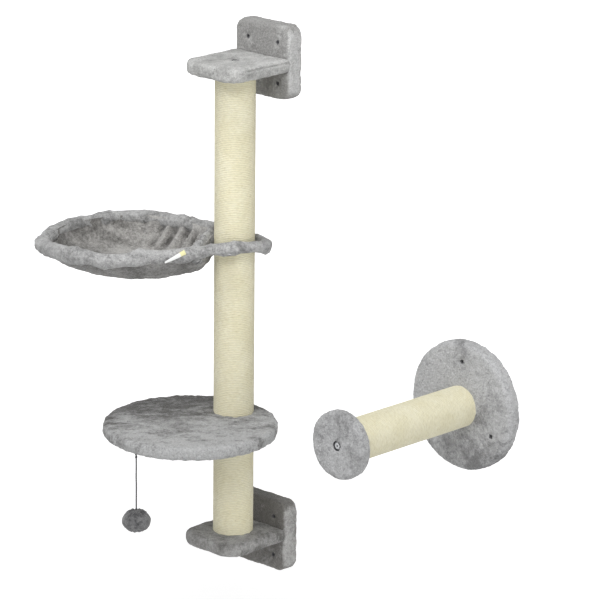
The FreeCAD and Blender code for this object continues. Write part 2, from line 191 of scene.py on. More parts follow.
def group_by(piece, name, weight):
    """A vertex group whose weights come from each vertex's place."""
    group = piece.vertex_groups.new(name=name)
    for v in piece.data.vertices:
        amount = weight(v.co)
        if amount > 0:
            group.add([v.index], min(amount, 1.0), "REPLACE")
    return name


def sculpt(piece, move):
    """Moves every vertex by a rule of its place."""
    for v in piece.data.vertices:
        v.co = v.co + move(v.co)
    piece.data.update()


def bump_at(distance, reach):
    """A soft fall-off, 1 at the middle and 0 from reach on."""
    t = min(distance / reach, 1.0)
    return (1 - t * t) ** 2


def cut_rods(piece, rods):
    """Cuts straight round holes: each is (point, direction, radius, length)."""
    for point, direction, radius, length in rods:
        clear()
        bpy.ops.mesh.primitive_cylinder_add(vertices=32, radius=radius, depth=length, location=point)
        cutter = bpy.context.object
        cutter.rotation_euler = Vector(direction).to_track_quat("Z", "Y").to_euler()
        settle(cutter)
        finish_with(piece, "BOOLEAN", object=cutter, operation="DIFFERENCE", solver="EXACT")
        bpy.data.objects.remove(cutter)


# ---- materials

def add(tree, kind, inputs=None, **props):
    made = tree.nodes.new("ShaderNode" + kind)
    for key, value in props.items():
        setattr(made, key, value)
    for key, value in (inputs or {}).items():
        socket = made.inputs[key]
        if isinstance(value, bpy.types.NodeSocket):
            tree.links.new(value, socket)
        else:
            socket.default_value = value
    return made


def new_material(name, **settings):
    """A material with its shader and its object coordinates."""
    material = bpy.data.materials.new(name)
    material.use_nodes = True
    tree = material.node_tree
    shader = tree.nodes["Principled BSDF"]
    for key, value in settings.items():
        shader.inputs[key.replace("_", " ")].default_value = value
    place = add(tree, "TexCoord").outputs["Object"]
    return material, tree, shader, place


def mapped(tree, place, scale=(1, 1, 1), turn=(0, 0, 0), shift=(0, 0, 0)):
    return add(tree, "Mapping", {"Vector": place, "Scale": scale, "Rotation": turn,
                                 "Location": shift}).outputs[0]


def noise(tree, place, scale, detail=2.0, rough=0.5, warp=0.0):
    return add(tree, "TexNoise", {"Vector": place, "Scale": scale, "Detail": detail,
                                  "Roughness": rough, "Distortion": warp}).outputs["Fac"]


def ramp(tree, value, *stops):
    """Maps a value through (position, grey or colour) stops."""
    made = add(tree, "ValToRGB", {"Fac": value})
    band = made.color_ramp
    while len(band.elements) < len(stops):
        band.elements.new(0.5)
    for element, (at, colour) in zip(band.elements, stops):
        element.position = at
        element.color = (*colour, 1) if isinstance(colour, tuple) else (colour, colour, colour, 1)
    return made.outputs[0]


def mix(tree, factor, first, second, how="MIX"):
    made = add(tree, "Mix", data_type="RGBA", blend_type=how)
    for index, value in ((0, factor), (6, first), (7, second)):
        socket = made.inputs[index]
        if isinstance(value, bpy.types.NodeSocket):
            tree.links.new(value, socket)
        elif index:
            socket.default_value = (*value, 1)
        else:
            socket.default_value = value
    return made.outputs[2]


def shaded(tree, tone, by):
    """One colour multiplied by another."""
    return mix(tree, 1.0, tone, by, "MULTIPLY")


def coloured(tree, shader, tone):
    tree.links.new(tone, shader.inputs["Base Color"])


def sums(tree, how, first, second=0.0):
    return add(tree, "Math", {0: first, 1: second}, operation=how).outputs[0]


def relief(tree, shader, height, distance, strength=1.0):
    made = add(tree, "Bump", {"Height": height, "Distance": distance, "Strength": strength})
    tree.links.new(made.outputs[0], shader.inputs["Normal"])


def weighted(tree, *parts):
    """The sum of values, each taken by its weight."""
    total = 0.0
    for value, weight in parts:
        total = sums(tree, "ADD", sums(tree, "MULTIPLY", value, weight), total)
    return total


def plush(name, light, dark, patch=13.0, streak=(1, 1, 1), turn=(0, 0, 0), share=0.5, lean=None,
          painted_fold_shade=False):
    """Short pile plush: brushed patches, mottled nap, tufts and fine wrinkles, painted darker along their
    creases as painted shade.
    share moves the balance of light and dark nap; lean = (direction, middle, width) darkens one side and
    lightens the other, a painted shadow on the step disc and painted light on the plates' right sides; with
    folds set, it takes the piece's own fold values: painted shade in the folds, painted light on the
    ridges."""
    material, tree, shader, place = new_material(
        name, Roughness=0.95, Specular_IOR_Level=0.12, Sheen_Weight=0.30, Sheen_Roughness=0.45)
    brushed = mapped(tree, mapped(tree, place, turn=turn), streak)
    nap = weighted(tree, (noise(tree, brushed, patch, 3.0, 0.6, 0.8), 0.50),
                   (noise(tree, brushed, patch * 3.4, 4.0, 0.7, 0.5), 0.24),
                   (noise(tree, place, 120.0, 3.0, 0.7), 0.26))
    if lean:
        way, centre, width = lean
        along = add(tree, "VectorMath", {0: place, 1: way}, operation="DOT_PRODUCT").outputs["Value"]
        side = add(tree, "MapRange", {"Value": along, "From Min": centre - width / 2,
                                      "From Max": centre + width / 2, "To Min": -0.09,
                                      "To Max": 0.09}).outputs[0]
        nap = sums(tree, "ADD", nap, side)
    # painted shade in the folds and painted light on the ridges, from the fold values
    if painted_fold_shade:
        fold_shade = add(tree, "Attribute", attribute_name="fold").outputs["Fac"]
        nap = weighted(tree, (nap, 1.0), (fold_shade, 0.13))
    tone = ramp(tree, nap, (share - 0.085, dark), (share + 0.085, light))
    tufts = noise(tree, place, 230.0, 3.0, 0.8)
    hairs = noise(tree, place, 560.0, 2.0, 0.8)
    grain = ramp(tree, weighted(tree, (tufts, 0.6), (hairs, 0.4)), (0.38, 0.72), (0.62, 1.22))
    tone = shaded(tree, tone, grain)
    # fine wrinkle lines, painted darker along their creases: painted shade
    parted = sums(tree, "ABSOLUTE", sums(tree, "SUBTRACT", noise(tree, brushed, 55.0, 2.0, 0.6, 1.2), 0.5))
    wrinkles_and_crease_shade = ramp(tree, parted, (0.0, 0.74), (0.030, 1.02))
    coloured(tree, shader, shaded(tree, tone, wrinkles_and_crease_shade))
    clumps = add(tree, "TexVoronoi", {"Vector": place, "Scale": 230.0}).outputs["Distance"]
    relief(tree, shader, weighted(tree, (tufts, 1.0), (hairs, 0.5), (clumps, 0.4), (wrinkles_and_crease_shade, 0.5)),
           0.0028, 0.8)
    return material


def sisal(name, centre, axis_turn, shade=1.0):
    """Wound rope: straw coloured fibres that run round the post, painted darker between the turns as
    painted shade in the grooves.
    """
    material, tree, shader, place = new_material(name, Roughness=0.8, Specular_IOR_Level=0.2,
                                                 Sheen_Weight=0.08)
    still = mapped(tree, place, shift=tuple(-c for c in centre))
    along = mapped(tree, still, turn=axis_turn)
    split = add(tree, "SeparateXYZ", {0: along})
    angle = sums(tree, "ARCTAN2", split.outputs[1], split.outputs[0])
    arc = sums(tree, "MULTIPLY", angle, POST)
    across = add(tree, "CombineXYZ", {0: split.outputs[0], 1: split.outputs[1]}).outputs[0]
    radius = add(tree, "VectorMath", {0: across}, operation="LENGTH").outputs["Value"]
    # the turns' crowns keep full colour, the grooves between them are painted darker: painted shade
    painted_groove_shade = add(tree, "MapRange", {"Value": radius, "From Min": POST - 0.0013, "From Max": POST - 0.0002,
                                   "To Min": 0.78, "To Max": 1.0}).outputs[0]
    flat = add(tree, "CombineXYZ", {0: arc, 1: split.outputs[2]}).outputs[0]
    fibres = noise(tree, mapped(tree, flat, (90, 900, 1), (0, 0, 0.04)), 1.0, 4.0, 0.65)
    lay = noise(tree, mapped(tree, flat, (140, 420, 1), (0, 0, 0.6)), 1.0, 3.0, 0.6)
    cloudy = noise(tree, place, 16.0, 4.0)
    flecks = noise(tree, mapped(tree, flat, (120, 620, 1), shift=(3, 7, 0)), 1.0, 1.0)
    tone = ramp(tree, fibres, (0.30, (0.66, 0.605, 0.41)), (0.5, (0.80, 0.765, 0.58)),
                (0.70, (0.86, 0.835, 0.69)))
    tone = shaded(tree, tone, ramp(tree, lay, (0.35, 0.94), (0.65, 1.04)))
    tone = shaded(tree, tone, ramp(tree, cloudy, (0.38, (0.95, 0.94, 0.90)), (0.62, (1.0, 1.0, 1.0))))
    tone = shaded(tree, tone, add(tree, "CombineColor", {0: painted_groove_shade, 1: painted_groove_shade, 2: painted_groove_shade}).outputs[0])
    tone = shaded(tree, tone, (shade, shade, shade))
    spots = ramp(tree, flecks, (0.73, 0.0), (0.80, 0.6))
    tone = mix(tree, spots, tone, (0.34, 0.27, 0.14))
    coloured(tree, shader, tone)
    relief(tree, shader, weighted(tree, (fibres, 1.0), (lay, 1.0)), 0.0007, 0.6)
    return material


def chipboard():
    material, tree, shader, place = new_material("chipboard", Roughness=0.85)
    chips = add(tree, "TexVoronoi", {"Vector": mapped(tree, place, (1, 1, 2.2)), "Scale": 260.0})
    wide = noise(tree, place, 90.0, 4.0)
    tone = ramp(tree, chips.outputs["Distance"], (0.1, (0.45, 0.31, 0.17)), (0.6, (0.67, 0.52, 0.34)))
    tone = shaded(tree, tone, ramp(tree, wide, (0.3, 0.8), (0.7, 1.1)))
    coloured(tree, shader, tone)
    relief(tree, shader, chips.outputs["Distance"], 0.0006, 0.5)
    return material


def cardboard():
    material, tree, shader, place = new_material("cardboard", Roughness=0.9)
    paper = noise(tree, mapped(tree, place, (1, 1, 6)), 120.0, 4.0, 0.6)
    tone = ramp(tree, paper, (0.3, (0.34, 0.23, 0.13)), (0.7, (0.50, 0.37, 0.23)))
    coloured(tree, shader, tone)
    relief(tree, shader, paper, 0.0003, 0.5)
    return material


def plated_steel():
    material, tree, shader, place = new_material("plated_steel", Metallic=1.0)
    wear = noise(tree, place, 320.0, 4.0, 0.6)
    coloured(tree, shader, ramp(tree, wear, (0.3, (0.26, 0.265, 0.275)), (0.7, (0.44, 0.445, 0.45))))
    tree.links.new(ramp(tree, wear, (0.2, 0.22), (0.8, 0.42)), shader.inputs["Roughness"])
    relief(tree, shader, wear, 0.0001, 0.3)
    return material


def nylon():
    material, tree, shader, place = new_material("nylon", Subsurface_Weight=0.05)
    marks = noise(tree, place, 240.0, 3.0)
    coloured(tree, shader, ramp(tree, marks, (0.3, (0.74, 0.73, 0.69)), (0.7, (0.82, 0.81, 0.78))))
    tree.links.new(ramp(tree, marks, (0.2, 0.38), (0.8, 0.55)), shader.inputs["Roughness"])
    return material


def felt():
    material, tree, shader, place = new_material("lining_felt", Roughness=1.0, Sheen_Weight=0.15)
    hairs = noise(tree, mapped(tree, place, (1, 1, 1.6)), 520.0, 4.0, 0.7, 2.0)
    cloud = noise(tree, place, 40.0, 3.0)
    tone = ramp(tree, hairs, (0.3, (0.035, 0.035, 0.038)), (0.72, (0.11, 0.11, 0.115)))
    tone = shaded(tree, tone, ramp(tree, cloud, (0.3, 0.75), (0.7, 1.15)))
    coloured(tree, shader, tone)
    relief(tree, shader, hairs, 0.0005, 0.6)
    return material


def ribbon():
    """Woven white ribbon of the blank tab, straw yellow at its folded end."""
    material, tree, shader, place = new_material("label_ribbon", Roughness=0.6, Sheen_Weight=0.2)
    local = add(tree, "UVMap", uv_map="UVMap").outputs[0]
    split = add(tree, "SeparateXYZ", {0: local})
    threads = mapped(tree, local, (70, 18, 1))
    weave = add(tree, "TexChecker", {"Vector": threads, "Scale": 1.0}).outputs["Fac"]
    end = ramp(tree, split.outputs[0], (0.74, 0.0), (0.78, 1.0))
    tone = mix(tree, end, (0.86, 0.87, 0.86), (0.82, 0.78, 0.42))
    tone = shaded(tree, tone, ramp(tree, weave, (0.0, 0.93), (1.0, 1.03)))
    coloured(tree, shader, tone)
    relief(tree, shader, weave, 0.0002, 0.5)
    return material


def braid():
    material, tree, shader, place = new_material("dark_braid", Roughness=0.85)
    weave = add(tree, "TexWave", {"Vector": mapped(tree, place, turn=(0.5, 0.4, 0)), "Scale": 260.0,
                                  "Distortion": 1.5}, wave_type="BANDS", bands_direction="Z").outputs["Fac"]
    coloured(tree, shader, ramp(tree, weave, (0.2, (0.010, 0.010, 0.012)), (0.8, (0.040, 0.040, 0.045))))
    relief(tree, shader, weave, 0.0004, 0.6)
    return material


PAINTED_FLANK_LIGHT = ((1, 0, 0), 0.0785, 0.009)                 # the plates' right sides are painted lighter and their fronts darker: painted light, as if lit from the right
plush_plain = plush("grey_plush", (0.50, 0.50, 0.495), (0.28, 0.277, 0.27), 11.0, share=0.51, lean=PAINTED_FLANK_LIGHT)
plush_top = plush("grey_plush_shelf", (0.47, 0.47, 0.46), (0.26, 0.26, 0.252), 16.0, (1.3, 0.8, 1.4),
                  share=0.47)
# darker copies of the grey plush for the lower shelf and plate: painted shade over the lower pieces
shaded_plush_low = plush("grey_plush_low_painted_shade", (0.36, 0.357, 0.35), (0.13, 0.127, 0.12), 13.0, share=0.50)
shaded_plush_low_plate = plush("grey_plush_low_plate_painted_shade", (0.42, 0.417, 0.41), (0.17, 0.164, 0.154), 12.0,
                        share=0.54, lean=PAINTED_FLANK_LIGHT)
plush_round = plush("grey_plush_platform", (0.42, 0.423, 0.425), (0.100, 0.097, 0.093), 15.0,
                    (0.8, 1.9, 1.2), (0, 0, -0.767), share=0.50, lean=((0.86, -0.50, 0), 0.09, 0.30))
# its lean darkens the disc below the post and to its right: a painted shadow of the post
plush_disc = plush("grey_plush_disc", (0.43, 0.432, 0.437), (0.17, 0.17, 0.172), 12.0, share=0.48,
                   lean=((-0.35, 0, 0.93), -0.87, 0.16))
plush_cap = plush("grey_plush_cap", (0.42, 0.422, 0.427), (0.23, 0.23, 0.232), 18.0, share=0.47)
plush_rim = plush("grey_plush_rim", (0.44, 0.44, 0.44), (0.20, 0.20, 0.198), 24.0, share=0.47)
# a darker copy for the bag's outside: painted shade under the bag
shaded_plush_bag = plush("grey_plush_bag_painted_shade", (0.33, 0.326, 0.32), (0.14, 0.137, 0.132), 10.0, (1, 1, 1.6))
plush_bowl = plush("grey_plush_bowl", (0.44, 0.43, 0.415), (0.13, 0.126, 0.119), 7.0, (1, 1, 1.6),
                   share=0.50, lean=((0.72, 0.69, 0), -0.37, 0.36), painted_fold_shade=True)
plush_ball = plush("dark_plush", (0.20, 0.20, 0.203), (0.06, 0.06, 0.062), 26.0, share=0.48)
rope_column = sisal("sisal_column", COLUMN, (0, 0, 0), 0.98)
# the step's rope is the column's sisal painted darker: painted shade
rope_step = sisal("sisal_step", STEP, (math.radians(90), 0, 0), 0.82)
board, tube_card, steel = chipboard(), cardboard(), plated_steel()
white_nylon, lining, tab_ribbon, dark_braid = nylon(), felt(), ribbon(), braid()


def dress(piece, material, body, slot, *nodes):
    """Gives a piece its material and its body, and hides the CAD nodes that it stands for."""
    piece.data.materials.clear()
    piece.data.materials.append(material)
    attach(piece, body)
    if nodes:
        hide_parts(*nodes)
    return piece


# ---- plush covered boards

SCREW_HOLE, LINING_HOLE = 0.0032, 0.0036           # the pile closes in over the wall screw holes
SCREW_DIMPLE = (0.014, 0.0034)                     # radius and depth
DRILL = 0.08                                       # longer than any cover is thick
BOLT_WELL, CAP_BOLT_WELL = 0.0085, 0.0108          # radii of the openings over the bolts
WELL_LENGTH = 0.0178
ROUND_THICK = 0.029                                # the round boards with their plush
LINING_THICK, LINING_RADIUS = 0.0010, 0.118
LEVEL = 1e-4                                       # nearer than this counts as the same height
INTO_WALL, OUT = (0, 1, 0), (0, -1, 0)


def grow_pile(piece, voxel, fluff=1.0):
    """Turns a plain closed form into an even skin of small faces, then gives it lumps and pile that
    stand out rather than in, so that the board stays covered."""
    finish_with(piece, "REMESH", mode="VOXEL", voxel_size=voxel, use_smooth_shade=True)
    finish_with(piece, "SMOOTH", iterations=6, factor=0.5)
    for size, height in ((0.040, 0.0028), (0.014, 0.0020 * fluff), (0.0062, 0.0017)):
        lumps(piece, size, height, middle=0.36)
    smooth(piece)


def painted_hole_shade(piece, holes, direction, radius, collar=0.0):
    """Paints the walls of drilled holes, and a narrow collar round them, in the dark felt of the lining:
    painted shade in the holes."""
    piece.data.materials.append(lining)
    way = Vector(direction)
    for face in piece.data.polygons:
        if not collar and abs(face.normal.dot(way)) > 0.4:
            continue
        for hole in holes:
            away = face.center - hole
            if (away - way * away.dot(way)).length < radius * 1.03 + collar:
                face.material_index = 1


def dimple(point, direction, radius, depth):
    """A rule for sculpt: presses the pile in round one point."""
    point, direction = Vector(point), Vector(direction)
    reach = 0.012

    def move(co):
        away = co - point
        along = away.dot(direction)
        side = (away - direction * along).length
        if side > radius or abs(along) > reach:
            return Vector()
        return direction * depth * bump_at(side, radius)

    return move


def flat_against_wall(piece):
    """Presses the hem flat on the wall plane."""
    for v in piece.data.vertices:
        if v.co.y > -0.0012:
            v.co.y = min(v.co.y, 0) * 0.3


def recess_lining(piece, inside):
    """Sinks the back face inside the turned in hem, where the lining lies."""
    for v in piece.data.vertices:
        if v.co.y > -0.004 and inside(v.co):
            v.co.y -= 0.0016


def wall_plate(name, middle, material, node, lining_node):
    """A square plate's plush cover, and the lining that its hem holds at the back."""
    size, depth, corner, hem, hole_row = 0.163, 0.039, 0.024, 0.022, 0.0455
    clear()
    bpy.ops.mesh.primitive_cube_add(size=1, location=(0, -depth / 2, middle))
    plate = named(name)
    plate.scale = (size, depth, size)
    settle(plate)
    pick_runs(plate, 1, depth / 2)
    bpy.ops.mesh.bevel(offset=corner, segments=12, affect="EDGES")
    done()
    round_off(plate, lambda p: p.y < -depth + LEVEL, 0.007, 5)
    round_off(plate, lambda p: p.y > -LEVEL, 0.003, 2)
    grow_pile(plate, 0.0021)
    flat_against_wall(plate)
    holes = [Vector((i * hole_row, 0, middle - 0.0015 + k * hole_row)) for i in (-1, 1) for k in (-1, 1)]
    for hole in holes:
        sculpt(plate, dimple(hole + Vector((0, -depth, 0)), INTO_WALL, *SCREW_DIMPLE))
    recess_lining(plate, lambda p: max(abs(p.x), abs(p.z - middle)) < size / 2 - hem)
    cut_rods(plate, [(hole + Vector((0, -depth / 2, 0)), INTO_WALL, SCREW_HOLE, DRILL) for hole in holes])
    smooth(plate)
    dress(plate, material, "root", "grey_plush", node)
    painted_hole_shade(plate, holes, INTO_WALL, SCREW_HOLE, 0.0014)

    clear()
    bpy.ops.mesh.primitive_cube_add(size=1, location=(0, -0.0006, middle))
    sheet = named(name + "_lining")
    sheet.scale = (size - 2 * hem, LINING_THICK, size - 2 * hem)
    settle(sheet)
    edit(sheet)
    bpy.ops.mesh.subdivide(number_cuts=24)
    done()
    lumps(sheet, 0.012, 0.0006, 2, "Y")
    cut_rods(sheet, [(hole, INTO_WALL, LINING_HOLE, 0.02) for hole in holes])
    dress(sheet, lining, "root", "lining", lining_node)


def shelf(name, underside, material, node, bolt_above):
    """A shelf's plush cover: round front corners, and a dimple where the bolt sits."""
    width, thick, corner = 0.164, 0.030, 0.038
    back, front = -0.0393, -0.21
    clear()
    bpy.ops.mesh.primitive_cube_add(size=1, location=(0, (back + front) / 2, underside + thick / 2))
    cover = named(name)
    cover.scale = (width, back - front, thick)
    settle(cover)
    pick_runs(cover, 2, thick / 2, lambda p: p.y < front + LEVEL)
    bpy.ops.mesh.bevel(offset=corner, segments=16, affect="EDGES")
    done()
    for level in (underside, underside + thick):
        round_off(cover, lambda p: abs(p.z - level) < LEVEL, 0.009, 5)
    grow_pile(cover, 0.0021)
    seam_z = underside + thick - 0.008

    def seam(co):
        """The cover's folded seam, drawn in along the right side under the top edge."""
        if co.x < width / 2 - 0.012 or not -0.165 < co.y < -0.040:
            return Vector()
        return Vector((-0.0036 * bump_at(abs(co.z - seam_z), 0.0030), 0, 0))

    if bolt_above:
        sculpt(cover, seam)
    hole_z = underside + thick if bolt_above else underside
    way = Vector((0, 0, -1 if bolt_above else 1))
    sculpt(cover, dimple((0, COLUMN.y, hole_z), way, 0.022, 0.0045))
    cut_rods(cover, [((0, COLUMN.y, hole_z), way, BOLT_WELL, WELL_LENGTH)])
    smooth(cover)
    dress(cover, material, "root", "grey_plush", node)
    painted_hole_shade(cover, [Vector((0, COLUMN.y, 0))], way, BOLT_WELL)


wall_plate("top_plate_plush", PLATE_TOP, plush_plain, "top_wall_cover", "top_wall_backing")
wall_plate("bottom_plate_plush", PLATE_BOTTOM, shaded_plush_low_plate, "bottom_wall_cover", "bottom_wall_backing")
shelf("top_shelf_plush", TOP_SHELF, plush_top, "top_shelf_cover", True)
shelf("bottom_shelf_plush", BOTTOM_SHELF, shaded_plush_low, "bottom_shelf_cover", False)


def round_cover(name, middle, axis, radius, voxel, back_round=0.010, fluff=1.3):
    """A round board's plush cover: axis is the way from its back to its front."""
    axis = Vector(axis)
    half = ROUND_THICK / 2
    clear()
    bpy.ops.mesh.primitive_cylinder_add(vertices=128, radius=radius, depth=ROUND_THICK)
    cover = named(name)
    round_off(cover, lambda p: p.z > half - LEVEL, 0.010, 6)
    round_off(cover, lambda p: p.z < -half + LEVEL, back_round, 6)
    cover.rotation_euler = axis.to_track_quat("Z", "Y").to_euler()
    cover.location = Vector(middle) + axis * half
    settle(cover)
    grow_pile(cover, voxel, fluff)
    return cover


platform = round_cover("platform_plush", PLATFORM, (0, 0, 1), 0.192, 0.0025, fluff=1.8)
lumps(platform, 0.020, 0.0022, 2, middle=0.4, creased=True)
dress(platform, plush_round, "root", "grey_plush", "platform_cover")

disc = round_cover("step_disc_plush", STEP, OUT, 0.140, 0.0022, back_round=0.003)
flat_against_wall(disc)
recess_lining(disc, lambda p: (p - STEP).length < LINING_RADIUS)
disc_holes = []
for degrees in (90, 210, 330):
    angle = math.radians(degrees)
    disc_holes.append(STEP + Vector((math.cos(angle), 0, math.sin(angle))) * 0.098)
for hole in disc_holes:
    sculpt(disc, dimple(hole + Vector((0, -ROUND_THICK, 0)), INTO_WALL, *SCREW_DIMPLE))
cut_rods(disc, [(hole, INTO_WALL, SCREW_HOLE, DRILL) for hole in disc_holes])
smooth(disc)
dress(disc, plush_disc, "root", "grey_plush", "step_wall_cover")
painted_hole_shade(disc, disc_holes, INTO_WALL, SCREW_HOLE, 0.0016)

clear()
bpy.ops.mesh.primitive_cylinder_add(vertices=96, radius=LINING_RADIUS, depth=LINING_THICK)
disc_lining = named("step_disc_lining")
disc_lining.rotation_euler = (math.radians(90), 0, 0)
disc_lining.location = STEP + Vector((0, -0.0006, 0))
settle(disc_lining)
cut_rods(disc_lining, [(hole, INTO_WALL, LINING_HOLE, 0.02) for hole in disc_holes])
dress(disc_lining, lining, "root", "lining", "step_wall_backing")

cap = round_cover("step_cap_plush", STEP + Vector((0, -0.384, 0)), OUT, 0.072, 0.0017)
cap_front = STEP + Vector((0, -0.413, 0))
sculpt(cap, dimple(cap_front, INTO_WALL, 0.020, 0.0040))
cut_rods(cap, [(cap_front, INTO_WALL, CAP_BOLT_WELL, WELL_LENGTH)])
smooth(cap)
dress(cap, plush_cap, "root", "grey_plush", "step_cap_cover")
painted_hole_shade(cap, [cap_front], INTO_WALL, CAP_BOLT_WELL)


# ---- sisal wound posts

def wound_post(name, start, direction, length, material, node, wavy=()):
    """One post's winding: a rounded turn of rope swept up the post, cut level at both ends.
    wavy lists (height, reach) where the turns wander a little."""
    pitch, radius, valley, points = 0.0040, POST, 0.0011, 7
    turns = int(length / pitch) + 2
    clear()
    bpy.ops.mesh.primitive_grid_add(x_subdivisions=1, y_subdivisions=1, size=pitch)
    winding = named(name)
    edit(winding)
    bpy.ops.mesh.delete(type="ONLY_FACE")
    bpy.ops.mesh.select_all(action="DESELECT")
    mesh = bmesh.from_edit_mesh(winding.data)
    for v in sorted(mesh.verts, key=lambda v: v.co.x)[2:]:
        v.select_set(True)
    bmesh.update_edit_mesh(winding.data)
    bpy.ops.mesh.delete(type="VERT")
    bpy.ops.mesh.select_all(action="SELECT")
    bpy.ops.mesh.subdivide(number_cuts=points - 2)
    done()
    low = min(v.co.y for v in winding.data.vertices)
    for v in winding.data.vertices:
        rise = (v.co.y - low) / pitch
        bulge = math.sqrt(max(0.0, 1 - (2 * rise - 1) ** 2))
        v.co = Vector((radius - valley * (1 - bulge), 0, rise * pitch - pitch))
    finish_with(winding, "SCREW", axis="Z", angle=math.tau, screw_offset=pitch, iterations=turns,
                steps=60, render_steps=60, use_merge_vertices=True, merge_threshold=0.00001,
                use_smooth_shade=True)
    edit(winding)
    bpy.ops.mesh.remove_doubles(threshold=0.00002)
    done()
    lumps(winding, 0.030, 0.0009, 2, "Z")
    lumps(winding, 0.006, 0.0006, 2, "NORMAL")
    for height, reach in wavy:
        group = group_by(winding, "wavy", lambda p: bump_at(abs(p.z - height), reach))
        lumps(winding, 0.016, 0.0052, 1, "Z", group)
        winding.vertex_groups.clear()
    for at, way in ((0.0, (0, 0, -1)), (length, (0, 0, 1))):
        edit(winding, what="EDGE")
        bpy.ops.mesh.bisect(plane_co=(0, 0, at), plane_no=way, clear_outer=True, use_fill=False)
        done()
        pick(winding, "EDGE", lambda p: abs(p.z - at) < 1e-6)
        bpy.ops.mesh.extrude_edges_move()
        bpy.ops.transform.resize(value=(0.9, 0.9, 1), center_override=(0, 0, at))
        done()
    pick(winding, "EDGE", lambda p: min(p.z, length - p.z) < 1e-6 and math.hypot(p.x, p.y) < 0.0425)
    bpy.ops.mesh.bridge_edge_loops()
    done()
    outward(winding)
    winding.rotation_euler = Vector(direction).to_track_quat("Z", "Y").to_euler()
    winding.location = start
    settle(winding)
    smooth(winding, 75)
    dress(winding, material, "root", "sisal", node)


wound_post("upper_post_rope", COLUMN + Vector((0, 0, -0.400)), (0, 0, 1), 0.382, rope_column,
           "upper_post_sisal", [(0.020, 0.030)])
wound_post("middle_post_rope", COLUMN + Vector((0, 0, -0.7876)), (0, 0, 1), 0.382, rope_column,
           "middle_post_sisal", [(0.362, 0.030)])
wound_post("lower_post_rope", COLUMN + Vector((0, 0, -1.0666)), (0, 0, 1), 0.250, rope_column,
           "lower_post_sisal")
wound_post("step_post_rope", STEP + Vector((0, -ROUND_THICK, 0)), OUT, 0.355, rope_step, "step_post_sisal")


# ---- hammock

def strand(reach):
    """Sideways place of the wire's straight stretches at a distance out from the column."""
    return HOOP / math.cos(LEAN) + reach * math.tan(LEAN)


TURN, SAG = math.radians(-148), math.radians(2)    # 58 degrees left of straight out, far end down
HANG = (Matrix.Translation((COLUMN.x, COLUMN.y, WIRE)) @ Matrix.Rotation(TURN, 4, "Z")
        @ Matrix.Rotation(SAG, 4, "Y"))


def hang(piece):
    """Takes a piece from the hammock's own frame to its place on the column."""
    piece.matrix_world = HANG
    settle(piece)


def wire_line():
    """The wire's closed line in the hammock's own frame, from the far side of the neck round."""
    points = []
    cosine, sine = math.cos(LEAN), math.sin(LEAN)
    start = Vector((0.030, -strand(0.030), 0))
    far = Vector((RING_REACH - RING * sine, -RING * cosine, 0))
    for i in range(8):
        points.append(start.lerp(far, i / 8))
    sweep = math.pi + 2 * LEAN
    for i in range(61):
        a = -math.pi / 2 - LEAN + sweep * i / 60
        points.append(Vector((RING_REACH + RING * math.cos(a), RING * math.sin(a), 0)))
    near = Vector((-HOOP * sine, HOOP * cosine, 0))
    last = points[-1].copy()
    for i in range(1, 12):
        points.append(last.lerp(near, i / 12))
    sweep = math.pi - 2 * LEAN
    for i in range(29):
        a = math.pi / 2 + LEAN + sweep * i / 28
        points.append(Vector((HOOP * math.cos(a), HOOP * math.sin(a), 0)))
    return points


def uneven(co):
    """The ring is a little uneven: its near side rides up at the far end, the end itself dips."""
    around = math.atan2(co.y, co.x - RING_REACH)
    lift = 0.0060 * bump_at(abs(around - 1.0), 0.7) - 0.0050 * bump_at(abs(around - 0.05), 0.5)
    lift += 0.0045 * bump_at(abs(around + 1.7), 0.9)
    return Vector((0, 0, lift * max(0.0, 1 + min(co.z, 0) / 0.05)))


